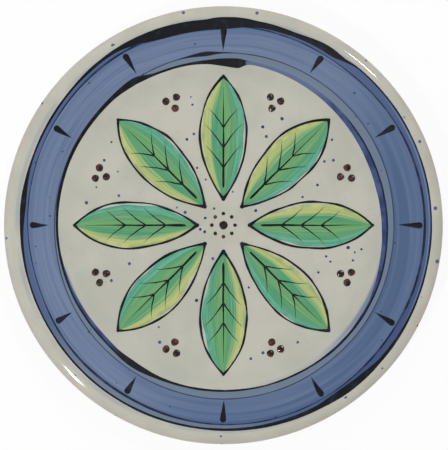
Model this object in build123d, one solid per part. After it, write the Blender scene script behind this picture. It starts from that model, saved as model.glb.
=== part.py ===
from build123d import *

import math
import os
import random

# Hand-thrown dinner plate of glazed stoneware, in millimetres.
# The foot stands on z = 0, the plate's axis is Z, and the eating side faces +Z.
# A clay body stands on a luted foot ring. Glaze coats cover the body on both sides of the foot,
# and bands, leaves, berries and flecks of coloured slip lie on the front glaze.

# Body
PLATE_DIAMETER = 280.0
RIM_WIDTH = 48.0  # from the edge of the well to the edge of the plate
FOOT_HEIGHT = 6.5  # from the table to the underside of the floor, at the axis
BODY_THICKNESS = 7.0  # finished, with both glaze coats
WELL_CROWN_RADIUS = 1500.0  # the well is a shallow dish of this radius
COVE_RADIUS = 60.0  # the curve from the well up to the rim
RIM_ANGLE = 17.0  # slope of the rim, in degrees
LIP_ROLL_RADIUS = 8.0  # the top of the rim rolls over at this radius
LIP_DROOP = 40.0  # slope past level at which the roll meets the nose, in degrees
GLAZE = 0.5

# Foot ring
FOOT_INSET = 8.0  # from the edge of the well in to the root of the foot
FOOT_WIDTH = 10.0  # at its root
FOOT_DRAFT = 9.0  # each side leans in by this angle, in degrees
FOOT_EDGE_RADIUS = 1.2

# Bands on the rim
LIP_MARGIN = 10.6  # from the edge of the plate to the blue band
BAND_WIDTH = 22.0
BAND_LAYER = 0.25
EDGE_LINE_WIDTH = 1.8
HAIRLINE_WIDTH = 0.9
INNER_HAIRLINE_INSET = 2.8  # from the inner edge of the blue band
OUTER_HAIRLINE_INSET = 2.0  # from the outer edge of the blue band
HAIRLINE_LAYER = 0.3

# Dabs across the blue band
DAB_COUNT = 12
DAB_WIDTH = 4.2
DAB_GAP = 0.8  # from either end of a dab to the hairline
DAB_LAYER = 0.6

# Leaves in the well
LEAF_COUNT = 8
LEAF_BASE_RADIUS = 17.0  # from the axis to the base of a leaf
LEAF_TO_BAND = 9.7  # from the tip of a leaf to the bands
LEAF_TIP_RUN = 35.0  # from the widest place of a leaf to its tip
LEAF_WIDTH = 30.0
WASH_LAYER = 0.35
OUTLINE_WIDTH = 1.7
OUTLINE_LAYER = 0.8

# Veins on a leaf
MIDRIB_WIDTH = 2.0
MIDRIB_END_GAP = 7.0  # from an end of the midrib to the end of the leaf
SIDE_VEIN_PAIRS = 3
SIDE_VEIN_WIDTH = 1.3
SIDE_VEIN_ANGLE = 38.0  # from the midrib, in degrees
SIDE_VEIN_GAP = 2.2  # from the tip of a side vein to the outline
VEIN_LAYER = 0.4

# Raised dots
BERRY_DIAMETER = 5.2
BERRY_HEIGHT = 1.0
BERRY_SPACING = 7.2  # between the middles of the berries of a group
BERRY_INSET = 1.5  # from the edge of the well in to the outer berries
CENTRE_DOT_DIAMETER = 6.0
CENTRE_DOT_HEIGHT = 0.9
RING_DOT_DIAMETER = 2.6
RING_DOT_HEIGHT = 0.6
DOT_RING_DIAMETER = 15.0

# Flecks of flicked slip
FLECK_THROWS = 140  # those that land clear of everything else are kept
FLECK_LEAST_DIAMETER = 1.2
FLECK_MOST_DIAMETER = 2.6
FLECK_LAYER = 0.4
FLECK_CLEARANCE = 0.8
FLECK_SEED = 7

# Places worked out from the sizes above
plate_radius = PLATE_DIAMETER / 2
well_radius = plate_radius - RIM_WIDTH
floor_top = FOOT_HEIGHT + BODY_THICKNESS
well_slope = math.asin(well_radius / WELL_CROWN_RADIUS)
rim_slope = math.radians(RIM_ANGLE)
droop = math.radians(LIP_DROOP)
band_outer = plate_radius - LIP_MARGIN
band_inner = band_outer - BAND_WIDTH
lines_outer = band_outer + EDGE_LINE_WIDTH
lines_inner = band_inner - EDGE_LINE_WIDTH
dot_field = min(well_radius, lines_inner)
leaf_tip = lines_inner - LEAF_TO_BAND
leaf_widest = leaf_tip - LEAF_TIP_RUN
leaf_step = 360 / LEAF_COUNT


def below(slope, distance):
    """A step of that distance square to a line that rises outwards at that slope, downwards."""
    return Vector(math.sin(slope), -math.cos(slope)) * distance


def lip_nose_radius():
    """Radius of the nose that carries the roll of the lip round to the underside of the rim."""
    turn = math.cos(rim_slope + droop)
    return (BODY_THICKNESS - LIP_ROLL_RADIUS * (1 - turn)) / (1 + turn)


# Centres of the arcs of the half section, which has the radius along X and the height along Y.
# The surface of every layer is made of arcs about these same centres.
well_centre = Vector(0, floor_top + WELL_CROWN_RADIUS)
cove_centre = well_centre + below(well_slope, WELL_CROWN_RADIUS - COVE_RADIUS)
rim_start = cove_centre + below(rim_slope, COVE_RADIUS)
nose_radius = lip_nose_radius()
roll_to_nose = Vector(math.sin(droop), math.cos(droop)) * (LIP_ROLL_RADIUS - nose_radius)
roll_x = plate_radius - nose_radius - roll_to_nose.X
rim_end_x = roll_x - LIP_ROLL_RADIUS * math.sin(rim_slope)
rim_rise = (rim_end_x - rim_start.X) * math.tan(rim_slope)
roll_centre = Vector(roll_x, rim_start.Y + rim_rise - LIP_ROLL_RADIUS * math.cos(rim_slope))
nose_centre = roll_centre + roll_to_nose
plate_height = roll_centre.Y + LIP_ROLL_RADIUS


def floor_edges(depth):
    """Well and cove at a depth under the finished front, from the axis outwards."""
    start = math.degrees(well_slope)
    return [
        CenterArc(well_centre, WELL_CROWN_RADIUS + depth, -90, start),
        CenterArc(cove_centre, COVE_RADIUS + depth, start - 90, RIM_ANGLE - start),
    ]


def front_edges(depth):
    """Front at a depth under its finished surface, from the axis to the nose of the lip."""
    floor = floor_edges(depth)
    roll = CenterArc(roll_centre, LIP_ROLL_RADIUS - depth, 90 + RIM_ANGLE, -RIM_ANGLE - LIP_DROOP)
    return [*floor, Line(floor[-1] @ 1, roll @ 0), roll]


def front_to_edge(depth):
    """The same, carried round the nose to the edge of the plate."""
    nose = CenterArc(nose_centre, nose_radius - depth, 90 - LIP_DROOP, LIP_DROOP - 90)
    return [*front_edges(depth), nose]


def back_to_edge(depth):
    """Underside at a depth inside its finished surface, from the axis to the edge of the plate."""
    floor = floor_edges(BODY_THICKNESS - depth)
    nose = CenterArc(nose_centre, nose_radius - depth, RIM_ANGLE - 90, 90 - RIM_ANGLE)
    return [*floor, Line(floor[-1] @ 1, nose @ 0), nose]


def body_section(depth):
    """Half section of the plate without its foot, at a depth inside its finished surface."""
    front = front_to_edge(depth)
    back = back_to_edge(depth)
    return make_face([*front, *back, Line(front[0] @ 0, back[0] @ 0)])


def coat_section(outer, inner):
    """Half section of a coat between two rows of edges that run alike from the axis outwards."""
    axis = Line(outer[0] @ 0, inner[0] @ 0)
    edge = Line(outer[-1] @ 1, inner[-1] @ 1)
    return make_face([*outer, *inner, axis, edge])


def turned(section):
    return revolve(Plane.XZ * section, Axis.Z)


def band(inner, outer, low, high):
    """Turned layer on the front, between two radii and between two heights over the glaze."""
    window = Pos((inner + outer) / 2, floor_top) * Rectangle(outer - inner, PLATE_DIAMETER)
    return turned(coat_section(front_edges(-low), front_edges(-high)) & window)


def stamp(shape, low, high):
    """Painted shape of even thickness: what a flat outline covers of a layer over the glaze."""
    return extrude(shape, amount=2 * plate_height) & band(0, lines_outer, low, high)


def round_copies(name, shape, count):
    """Named copies of a shape, evenly spaced round the axis."""
    digits = len(str(count))
    return {
        f"{name}_{number + 1:0{digits}d}": Rot(0, 0, number * 360 / count) * shape
        for number in range(count)
    }


# Clay and glaze


def foot_section():
    """Half section of the foot ring, run up to the middle of the body's thickness."""
    lean = math.tan(math.radians(FOOT_DRAFT))
    top = FOOT_HEIGHT + BODY_THICKNESS / 2
    spread = lean * (top - FOOT_HEIGHT)
    taper = lean * FOOT_HEIGHT
    outside = well_radius - FOOT_INSET
    inside = outside - FOOT_WIDTH
    corners = [
        (inside - spread, top),
        (outside + spread, top),
        (outside - taper, 0),
        (inside + taper, 0),
    ]
    blank = make_face(Polyline(*corners, close=True))
    return fillet(blank.vertices().sort_by(Axis.Y)[:2], FOOT_EDGE_RADIUS)


def clay_and_glaze():
    """Body and bare foot ring, the front coat, and the back coat inside and outside the foot."""
    clay = body_section(GLAZE)
    front_coat = coat_section(front_to_edge(0), front_to_edge(GLAZE))
    back_coat = coat_section(back_to_edge(0), back_to_edge(GLAZE)) - foot_section()
    recess, outside = back_coat.faces().sort_by(Axis.X)
    return {
        "clay_body": turned(clay),
        "foot_ring": turned(foot_section() - clay),
        "front_glaze": turned(front_coat),
        "back_glaze": turned(outside),
        "recess_glaze": turned(recess),
    }


# Rim


def drop_stroke(tail, head, width):
    """Flat outline of a dab along +X, with a round head and a tail drawn out to a point."""
    radius = width / 2
    middle = head - radius
    reach = middle - tail
    x = middle - radius**2 / reach
    y = radius * math.sqrt(1 - (radius / reach) ** 2)
    nose = ThreePointArc((x, y), (head, 0), (x, -y))
    return make_face([nose, Line((x, -y), (tail, 0)), Line((tail, 0), (x, y))])


def tapered_stroke(start, end, width):
    """Flat outline of a brush stroke: two arcs that meet in a point at both ends."""
    start = Vector(*start)
    end = Vector(*end)
    middle = (start + end) / 2
    across = (end - start).normalized().rotate(Axis.Z, 90) * (width / 2)
    left = ThreePointArc(start, middle + across, end)
    right = ThreePointArc(start, middle - across, end)
    return make_face([left, right])


def rim_bands():
    """Blue band, its dark edge lines and the hairlines on it."""
    line_top = BAND_LAYER + HAIRLINE_LAYER
    inner_hair = band_inner + INNER_HAIRLINE_INSET
    outer_hair = band_outer - OUTER_HAIRLINE_INSET
    return {
        "blue_band": band(band_inner, band_outer, 0, BAND_LAYER),
        "inner_dark_line": band(lines_inner, band_inner, 0, BAND_LAYER),
        "outer_dark_line": band(band_outer, lines_outer, 0, BAND_LAYER),
        "inner_hairline": band(inner_hair, inner_hair + HAIRLINE_WIDTH, BAND_LAYER, line_top),
        "outer_hairline": band(outer_hair - HAIRLINE_WIDTH, outer_hair, BAND_LAYER, line_top),
    }


def rim_dabs():
    """Dark dabs from hairline to hairline, on the blue band."""
    clear = HAIRLINE_WIDTH + DAB_GAP
    tail = band_inner + INNER_HAIRLINE_INSET + clear
    head = band_outer - OUTER_HAIRLINE_INSET - clear
    dab = stamp(drop_stroke(tail, head, DAB_WIDTH), BAND_LAYER, BAND_LAYER + DAB_LAYER)
    return round_copies("rim_dab", dab, DAB_COUNT)


# Leaves


def leaf_arc(reach):
    """Radius of the arc from the widest place of a leaf to the end that lies that far off."""
    return (reach**2 + LEAF_WIDTH**2 / 4) / LEAF_WIDTH


def leaf_shape(inset):
    """Flat outline of the leaf along +X, inset from its drawn line."""
    side = LEAF_WIDTH / 2 - inset
    arcs = []
    for reach in (LEAF_BASE_RADIUS - leaf_widest, LEAF_TIP_RUN):
        radius = leaf_arc(reach)
        run = math.sqrt((radius - inset) ** 2 - (radius - LEAF_WIDTH / 2) ** 2)
        end = math.copysign(run, reach)
        for y in (side, -side):
            arcs.append(TangentArc((0, y), (end, 0), tangent=(end, 0)))
    return Pos(leaf_widest, 0) * make_face(arcs)


def leaf_half_width(x):
    """Half the width of the leaf along +X at a place between its base and its tip."""
    reach = LEAF_BASE_RADIUS - leaf_widest if x < leaf_widest else LEAF_TIP_RUN
    radius = leaf_arc(reach)
    return math.sqrt(radius**2 - (x - leaf_widest) ** 2) - radius + LEAF_WIDTH / 2


def side_vein_run(root, slope):
    """How far outwards a side vein from that root runs until it comes close to the outline."""
    keep_in = OUTLINE_WIDTH / 2 + SIDE_VEIN_GAP
    shortest = 0
    longest = leaf_tip - root
    for _ in range(40):
        run = (shortest + longest) / 2
        if run * slope < leaf_half_width(root + run) - keep_in:
            shortest = run
        else:
            longest = run
    return shortest


def vein_shape():
    """Flat outline of the midrib and of its side veins, which spring from it in pairs."""
    start = LEAF_BASE_RADIUS + MIDRIB_END_GAP
    end = leaf_tip - MIDRIB_END_GAP
    slope = math.tan(math.radians(SIDE_VEIN_ANGLE))
    shape = tapered_stroke((start, 0), (end, 0), MIDRIB_WIDTH)
    for number in range(SIDE_VEIN_PAIRS):
        root = start + (end - start) * (number + 1) / (SIDE_VEIN_PAIRS + 2)
        run = side_vein_run(root, slope)
        for rise in (slope, -slope):
            shape += tapered_stroke((root, 0), (root + run, run * rise), SIDE_VEIN_WIDTH)
    return shape


def leaves():
    """Washes, the raised outlines round them and the raised veins on them."""
    half_line = OUTLINE_WIDTH / 2
    inside_line = leaf_shape(half_line)
    drawn_line = leaf_shape(-half_line) - inside_line
    wash = stamp(inside_line, 0, WASH_LAYER)
    outline = stamp(drawn_line, 0, OUTLINE_LAYER)
    veins = stamp(vein_shape(), WASH_LAYER, WASH_LAYER + VEIN_LAYER)
    return {
        **round_copies("leaf_wash", wash, LEAF_COUNT),
        **round_copies("leaf_outline", outline, LEAF_COUNT),
        **round_copies("leaf_veins", veins, LEAF_COUNT),
    }


# Dots and flecks


def well_arc(height, width):
    """Arc from the axis to half that width, at a height over the finished well."""
    half_angle = math.degrees(math.asin(width / 2 / WELL_CROWN_RADIUS))
    return CenterArc(well_centre, WELL_CROWN_RADIUS - height, -90, half_angle)


def seated(shape, radius, angle):
    """Shape made at the middle of the well, swung to a radius and turned to an angle in degrees."""
    swing = math.degrees(math.asin(radius / WELL_CROWN_RADIUS))
    pivot = Pos(0, 0, well_centre.Y)
    return Rot(0, 0, angle) * pivot * Rot(0, -swing, 0) * pivot.inverse() * shape


def dome(diameter, height):
    """Raised round dot at the middle of the well."""
    seat = well_arc(0, diameter)
    top = (seat @ 0) + Vector(0, height)
    skin = TangentArc(top, seat @ 1, tangent=(1, 0))
    return turned(make_face([seat, skin, Line(seat @ 0, top)]))


def flat_drop(diameter, height):
    """Flat drop of slip at the middle of the well."""
    return turned(coat_section([well_arc(0, diameter)], [well_arc(height, diameter)]))


def berry_places():
    """Radius and angle of each berry of the group after the first leaf."""
    outer = dot_field - BERRY_INSET - BERRY_DIAMETER / 2
    apart = math.asin(BERRY_SPACING / 2 / outer)
    inner = outer * math.cos(apart) - BERRY_SPACING * math.sqrt(3) / 2
    between = leaf_step / 2
    off = math.degrees(apart)
    return [(outer, between - off), (outer, between + off), (inner, between)]


def clear_of_leaves(radius, angle, room):
    """True if a spot on the front lies further than that room from every drawn leaf."""
    off = math.radians((angle + leaf_step / 2) % leaf_step - leaf_step / 2)
    x = radius * math.cos(off)
    if not LEAF_BASE_RADIUS - room < x < leaf_tip + room:
        return True
    nearest = min(max(x, LEAF_BASE_RADIUS), leaf_tip)
    return radius * abs(math.sin(off)) > leaf_half_width(nearest) + room


def fleck_places():
    """Radius, angle and diameter of each fleck that lands on bare glaze."""
    dice = random.Random(FLECK_SEED)
    taken = [
        (radius, angle + number * leaf_step, BERRY_DIAMETER)
        for number in range(LEAF_COUNT)
        for radius, angle in berry_places()
    ]
    centre_group = DOT_RING_DIAMETER / 2 + RING_DOT_DIAMETER / 2
    flecks = []
    for _ in range(FLECK_THROWS):
        diameter = dice.uniform(FLECK_LEAST_DIAMETER, FLECK_MOST_DIAMETER)
        radius = dot_field * math.sqrt(dice.random())
        angle = dice.uniform(0, 360)
        room = diameter / 2 + FLECK_CLEARANCE
        spot = Vector(radius, 0).rotate(Axis.Z, angle)
        in_field = centre_group + room < radius < dot_field - room
        if in_field and clear_of_leaves(radius, angle, room + OUTLINE_WIDTH / 2):
            if all(
                (spot - Vector(r, 0).rotate(Axis.Z, a)).length > room + d / 2
                for r, a, d in taken + flecks
            ):
                flecks.append((radius, angle, diameter))
    return flecks


def dots():
    """Groups of berries between the leaf tips, dots at the middle, and flecks."""
    berry = dome(BERRY_DIAMETER, BERRY_HEIGHT)
    berries = [seated(berry, radius, angle) for radius, angle in berry_places()]
    ring_dot = seated(dome(RING_DOT_DIAMETER, RING_DOT_HEIGHT), DOT_RING_DIAMETER / 2, 0)
    ring = [Rot(0, 0, number * leaf_step) * ring_dot for number in range(LEAF_COUNT)]
    flecks = [
        seated(flat_drop(diameter, FLECK_LAYER), radius, angle)
        for radius, angle, diameter in fleck_places()
    ]
    return {
        **round_copies("berries", Compound(berries), LEAF_COUNT),
        "centre_dots": Compound([dome(CENTRE_DOT_DIAMETER, CENTRE_DOT_HEIGHT), *ring]),
        "blue_flecks": Compound(flecks),
    }


def main():
    pieces = {**clay_and_glaze(), **rim_bands(), **rim_dabs(), **leaves(), **dots()}
    os.makedirs("parts", exist_ok=True)
    for name, piece in pieces.items():
        export_step(piece, f"parts/{name}.step")
    print("plate height", round(plate_height, 2), "nose radius", round(nose_radius, 2))
    print("pieces", len(pieces), "flecks", len(pieces["blue_flecks"].solids()))


main()
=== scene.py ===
# %% [markdown]
# # A painted stoneware plate
# A painted plate is fired clay, a glaze over it, and slips that were brushed and trailed on the glaze.
# The frame holds all of these as solids. This lesson gives each solid the surface that the wheel, the
# brush and the kiln leave, and keeps it where it is.

# %% Load the solids
import math

import bmesh
import bpy
from mathutils import Matrix, Vector, noise


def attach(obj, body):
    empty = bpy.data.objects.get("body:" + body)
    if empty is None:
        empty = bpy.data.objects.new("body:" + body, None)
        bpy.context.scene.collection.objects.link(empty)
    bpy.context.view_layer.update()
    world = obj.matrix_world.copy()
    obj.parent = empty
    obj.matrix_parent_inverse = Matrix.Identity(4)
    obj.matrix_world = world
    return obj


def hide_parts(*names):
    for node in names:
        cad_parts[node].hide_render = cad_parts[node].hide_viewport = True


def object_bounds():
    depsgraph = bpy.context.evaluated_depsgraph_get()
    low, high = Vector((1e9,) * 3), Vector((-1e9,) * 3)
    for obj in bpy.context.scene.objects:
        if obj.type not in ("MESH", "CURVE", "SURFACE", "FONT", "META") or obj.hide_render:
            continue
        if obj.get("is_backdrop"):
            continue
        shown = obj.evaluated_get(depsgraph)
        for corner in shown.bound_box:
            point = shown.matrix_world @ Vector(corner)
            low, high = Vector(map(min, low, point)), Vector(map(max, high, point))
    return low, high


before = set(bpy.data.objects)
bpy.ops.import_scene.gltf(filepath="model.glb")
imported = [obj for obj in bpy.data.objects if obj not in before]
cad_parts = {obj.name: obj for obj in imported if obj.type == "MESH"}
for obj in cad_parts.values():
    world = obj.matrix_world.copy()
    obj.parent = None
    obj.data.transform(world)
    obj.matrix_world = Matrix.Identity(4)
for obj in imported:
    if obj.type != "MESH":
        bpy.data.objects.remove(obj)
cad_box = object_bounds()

print("solids in the frame:", len(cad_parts))

# %% [markdown]
# ## The half section
# Everything round on the plate follows one half section: a nearly flat well, a cove, a straight rim and
# a lip that rolls over to a rounded edge. The section could be traced point by point. Here it is a chain
# of arcs from the sizes of the solids, so that the glaze can be spun from it, and every painted piece can
# ask how high the front is under it.

# %% Sizes of the half section, in metres
PLATE_RADIUS = 0.140
WELL_RADIUS = 0.092
FLOOR_TOP = 0.0135
CROWN_RADIUS = 1.5
COVE_RADIUS = 0.060
RIM_SLOPE = math.radians(17)
ROLL_RADIUS = 0.008
LIP_DROOP = math.radians(40)
BODY_THICKNESS = 0.007
GLAZE = 0.0005

UP = math.pi / 2
DOWN = -UP


def toward(angle):
    """A direction in the half section, by its angle from straight outwards."""
    return Vector((math.cos(angle), math.sin(angle)))


well_edge = DOWN + math.asin(WELL_RADIUS / CROWN_RADIUS)
rim_foot = DOWN + RIM_SLOPE
well_centre = Vector((0, FLOOR_TOP + CROWN_RADIUS))
cove_centre = well_centre + (CROWN_RADIUS - COVE_RADIUS) * toward(well_edge)
rim_start = cove_centre + COVE_RADIUS * toward(rim_foot)

lip_turn = math.cos(RIM_SLOPE + LIP_DROOP)
nose_radius = (BODY_THICKNESS - ROLL_RADIUS * (1 - lip_turn)) / (1 + lip_turn)
roll_to_nose = (ROLL_RADIUS - nose_radius) * toward(UP - LIP_DROOP)
roll_out = PLATE_RADIUS - nose_radius - roll_to_nose.x
rim_end = roll_out - ROLL_RADIUS * math.sin(RIM_SLOPE)
rim_rise = (rim_end - rim_start.x) * math.tan(RIM_SLOPE)
roll_centre = Vector((roll_out, rim_start.y + rim_rise - ROLL_RADIUS * math.cos(RIM_SLOPE)))
nose_centre = roll_centre + roll_to_nose
print("lip stands at", round(1000 * (roll_centre.y + ROLL_RADIUS), 2), "mm")


# %% Height of the front at a radius
def front_height(r):
    """Height of the glazed front above the table, before the kiln moves it."""
    if r <= WELL_RADIUS:
        return well_centre.y - math.sqrt(CROWN_RADIUS**2 - r**2)
    if r <= rim_start.x:
        return cove_centre.y - math.sqrt(COVE_RADIUS**2 - (r - cove_centre.x) ** 2)
    if r <= rim_end:
        return rim_start.y + (r - rim_start.x) * math.tan(RIM_SLOPE)
    return roll_centre.y + math.sqrt(max(ROLL_RADIUS**2 - (r - roll_centre.x) ** 2, 0))


print("front at 50, 100 and 125 mm:", [round(1000 * front_height(r), 2) for r in (0.05, 0.1, 0.125)])

# %% [markdown]
# ## What the wheel and the kiln leave
# A thrown plate is never quite true. Fingers leave a shallow spiral in the well, the rim sags a little in
# the kiln, and the edge dries a shade out of round. A displacement modifier could do this for one mesh.
# A small function of place does it for every piece alike, so the paint stays on the glaze.

# %% Finger spiral, sag and an edge out of round
SPIRAL_DEPTH = 0.00007
SPIRAL_PITCH = 0.0068
SAG = 0.0002
SAG_PHASES = {2: 0.7, 3: 2.1}
OUT_OF_ROUND = 0.00025
NARROW_PHASE = -0.4


def wheel_mark(r, around):
    """Depth of the finger spiral, which starts off the middle and fades before the rim."""
    fade = min(r / SPIRAL_PITCH, 1) * max(0, 1 - (r / WELL_RADIUS) ** 4)
    wave = math.cos(math.tau * r / SPIRAL_PITCH - around)
    return SPIRAL_DEPTH * fade * (wave - 1) / 2


def fired(x, y, z):
    """Where a point of the true shape is after the kiln."""
    share = math.hypot(x, y) / PLATE_RADIUS
    around = math.atan2(y, x)
    waves = [1 - math.cos(count * around + phase) for count, phase in SAG_PHASES.items()]
    dip = sum(waves) / 4
    narrow = (1 - math.cos(2 * around + NARROW_PHASE)) / 2
    keep = 1 - OUT_OF_ROUND / PLATE_RADIUS * narrow * share**8
    return Vector((x * keep, y * keep, z - SAG * dip * share**3))


def on_front(x, y, lift=0):
    """A point on the fired front, or lifted above it."""
    r = math.hypot(x, y)
    return fired(x, y, front_height(r) + wheel_mark(r, math.atan2(y, x)) + lift)


print("rim sag on +X:", round(1000 * (front_height(0.13) - on_front(0.13, 0).z), 3), "mm")

# %% [markdown]
# ## Shader maths
# Glazes and slips vary from place to place, and those variations are formulas of place. Nodes could be
# wired by hand, one line each. A small class around a socket lets a formula be written as a formula, and
# one method adds every other kind of node.

# %% A socket that does arithmetic
MIX_FACTOR, MIX_FIRST, MIX_SECOND, MIX_RESULT = 0, 6, 7, 2
SMALLEST_DOT = 0.45
DOT_EDGE = 0.75


class Shade:
    """An output socket of a node tree. Arithmetic on it adds Math nodes."""

    def __init__(self, tree, socket=None):
        self.tree = tree
        self.socket = socket

    def node(self, kind, settings=None, sockets=None, output=0):
        """Adds a node: its settings first, then a value or a link for each socket."""
        made = self.tree.nodes.new(kind)
        for name, setting in (settings or {}).items():
            if name == "stops":
                set_stops(made.color_ramp.elements, setting)
            else:
                setattr(made, name, setting)
        for name, given in (sockets or {}).items():
            if isinstance(given, Shade):
                self.tree.links.new(given.socket, made.inputs[name])
            else:
                made.inputs[name].default_value = given
        return Shade(self.tree, made.outputs[output] if made.outputs else None)

    def maths(self, operation, first, second=0):
        return self.node("ShaderNodeMath", {"operation": operation}, {0: first, 1: second})

    def __add__(self, other):
        return self.maths("ADD", self, other)

    def __radd__(self, other):
        return self.maths("ADD", other, self)

    def __sub__(self, other):
        return self.maths("SUBTRACT", self, other)

    def __rsub__(self, other):
        return self.maths("SUBTRACT", other, self)

    def __mul__(self, other):
        return self.maths("MULTIPLY", self, other)

    def __rmul__(self, other):
        return self.maths("MULTIPLY", other, self)

    def __truediv__(self, other):
        return self.maths("DIVIDE", self, other)

    def __rtruediv__(self, other):
        return self.maths("DIVIDE", other, self)

    def __pow__(self, other):
        return self.maths("POWER", self, other)

    def __rpow__(self, other):
        return self.maths("POWER", other, self)

    def __abs__(self):
        return self.maths("ABSOLUTE", self)

    def rise(self, low, high):
        """Goes smoothly from 0 at low to 1 at high."""
        sockets = {"Value": self, "From Min": low, "From Max": high}
        return self.node("ShaderNodeMapRange", {"interpolation_type": "SMOOTHSTEP"}, sockets)

    def near(self, middle, reach):
        """1 at the middle, and smoothly down to 0 at the reach on both sides of it."""
        return 1 - abs(self - middle).rise(0, reach)

    def mix(self, first, second):
        """From the first colour to the second as this value goes from 0 to 1."""
        sockets = {MIX_FACTOR: self, MIX_FIRST: first, MIX_SECOND: second}
        return self.node("ShaderNodeMix", {"data_type": "RGBA"}, sockets, MIX_RESULT)

    def ramp(self, stops):
        """The colour that the stops give at this value."""
        return self.node("ShaderNodeValToRGB", {"stops": stops}, {"Fac": self})

    def parts(self):
        """The three parts of a vector."""
        return [self.node("ShaderNodeSeparateXYZ", {}, {0: self}, axis) for axis in range(3)]

    def vector(self, x, y, z):
        return self.node("ShaderNodeCombineXYZ", {}, {0: x, 1: y, 2: z})

    def clouds(self, scale, detail=2):
        """Soft noise around 0.5 at this place, with so many features to the unit."""
        sockets = {"Vector": self, "Scale": scale, "Detail": detail}
        return self.node("ShaderNodeTexNoise", {}, sockets)

    def dots(self, spacing, size, share):
        """Round dots of up to this radius, in a share of the cells of a grid with this spacing."""
        grid = {"Vector": self, "Scale": 1 / spacing}
        apart = self.node("ShaderNodeTexVoronoi", {"voronoi_dimensions": "2D"}, grid)
        cell = self.node("ShaderNodeTexVoronoi", {"voronoi_dimensions": "2D"}, grid, "Color")
        chance, growth, _ = cell.parts()
        reach = size / spacing * (SMALLEST_DOT + (1 - SMALLEST_DOT) * growth)
        return (1 - (apart / reach).rise(DOT_EDGE, 1)) * chance.rise(1 - share, 1.001 - share)


def set_stops(elements, stops):
    """Gives a colour ramp its stops, from a dictionary of places and colours in order."""
    places = list(stops)
    for place in places[1:-1]:
        elements.new(place)
    for element, place in zip(elements, places):
        element.position = place
        element.color = stops[place]


def paint(red, green, blue):
    """A colour as a paint chart gives it, from 0 to 255, in the linear values that nodes take."""
    return [((part / 255 + 0.055) / 1.055) ** 2.4 for part in (red, green, blue)] + [1]


print("mid grey of a paint chart is", round(paint(128, 128, 128)[0], 3), "to a shader")

# %% [markdown]
# ## Finishing a material and a piece
# Each finish ends in one shader with a colour, a roughness and a fine relief. Each piece ends the same way
# too: outward faces, smooth shading with real corners kept, a finish, a parent for the body it rides on,
# and the solid it stands for hidden.


# %% Start and end of a finish
def start_finish(name):
    """A new material, and the place on the surface that its formulas start from."""
    material = bpy.data.materials.new(name)
    material.use_nodes = True
    material.node_tree.nodes.clear()
    place = Shade(material.node_tree).node("ShaderNodeTexCoord", output="Object")
    return material, place


def radius_of(place):
    """Distance from the plate's axis."""
    x, y, _ = place.parts()
    return (x * x + y * y) ** 0.5


def facing(place, bearing):
    """1 on the side of the plate at this bearing in degrees, and -1 on the far side."""
    x, y, _ = place.parts()
    angle = math.radians(bearing)
    return (math.cos(angle) * x + math.sin(angle) * y) / radius_of(place)


def end_finish(place, colour, roughness, relief, depth, shine=0.5):
    """Ends a finish in a shader, with a relief that is this many metres deep."""
    normal = place.node("ShaderNodeBump", {}, {"Distance": depth, "Height": relief})
    sockets = {"Base Color": colour, "Roughness": roughness, "Normal": normal, "Specular IOR Level": shine}
    shader = place.node("ShaderNodeBsdfPrincipled", {}, sockets)
    place.node("ShaderNodeOutputMaterial", {}, {"Surface": shader})


# %% Make a piece
CORNER = math.radians(40)


def new_object(name, bm, finish):
    """Turns a bmesh into an object of the scene, with its finish."""
    mesh = bpy.data.meshes.new(name)
    bm.to_mesh(mesh)
    bm.free()
    mesh.materials.append(finish)
    made = bpy.data.objects.new(name, mesh)
    bpy.context.scene.collection.objects.link(made)
    return made


def new_piece(name, bm, finish, node):
    """Turns a bmesh into a piece that rides on the plate and stands for one solid."""
    bmesh.ops.recalc_face_normals(bm, faces=bm.faces)
    piece = new_object(name, bm, finish)
    piece.data.shade_smooth()
    piece.data.set_sharp_from_angle(angle=CORNER)
    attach(piece, "root")
    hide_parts(node)
    return piece


print("corners sharper than", round(math.degrees(CORNER)), "degrees stay sharp")

# %% [markdown]
# ## Turning on the wheel
# Glaze coats, the foot and the bands are all turned shapes. Blender's Screw modifier could spin them. The
# spin operator does it here, because the spun points can then be moved at once to where the kiln left
# them. A section that starts and ends on the axis closes itself at the poles.


# %% Arcs and a lathe
TURN_STEPS = 360
MERGE = 1e-7


def spaced(start, end, count):
    """Even steps from start to end, with both ends."""
    return [start + (end - start) * step / count for step in range(count + 1)]


def arc(centre, radius, start, end, count):
    """Points along an arc in the half section."""
    return [centre + radius * toward(angle) for angle in spaced(start, end, count)]


def straight(start, end, count):
    """Points between two points of the half section, without the two."""
    return [start.lerp(end, step / count) for step in range(1, count)]


def turned(section, closed, steps=TURN_STEPS):
    """Spins a half section once round the axis."""
    bm = bmesh.new()
    verts = [bm.verts.new((point.x, 0, point.y)) for point in section]
    pairs = list(zip(verts, verts[1:]))
    if closed:
        pairs.append((verts[-1], verts[0]))
    edges = [bm.edges.new(pair) for pair in pairs]
    axis = {"cent": (0, 0, 0), "axis": (0, 0, 1), "angle": math.tau}
    bmesh.ops.spin(bm, geom=verts + edges, steps=steps, use_merge=True, **axis)
    bmesh.ops.remove_doubles(bm, verts=bm.verts, dist=MERGE)
    return bm


print("a full turn has", TURN_STEPS, "steps")

# %% [markdown]
# ## The pale glaze
# The glaze is a grey cream, and not one flat colour: it clouds, it goes greener and deeper where it pooled
# in the cove, it breaks to a warm buff where it ran thin on the lip, and iron from the clay specks it.
# Colour from the blue band bleeds into it beside the edge lines, and a few blue dots were flicked on to
# the lip, both on the front only. Most of this depends on the distance from the axis, so the formulas use
# that. The height above the slope of the rim tells the front from the back.

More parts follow.
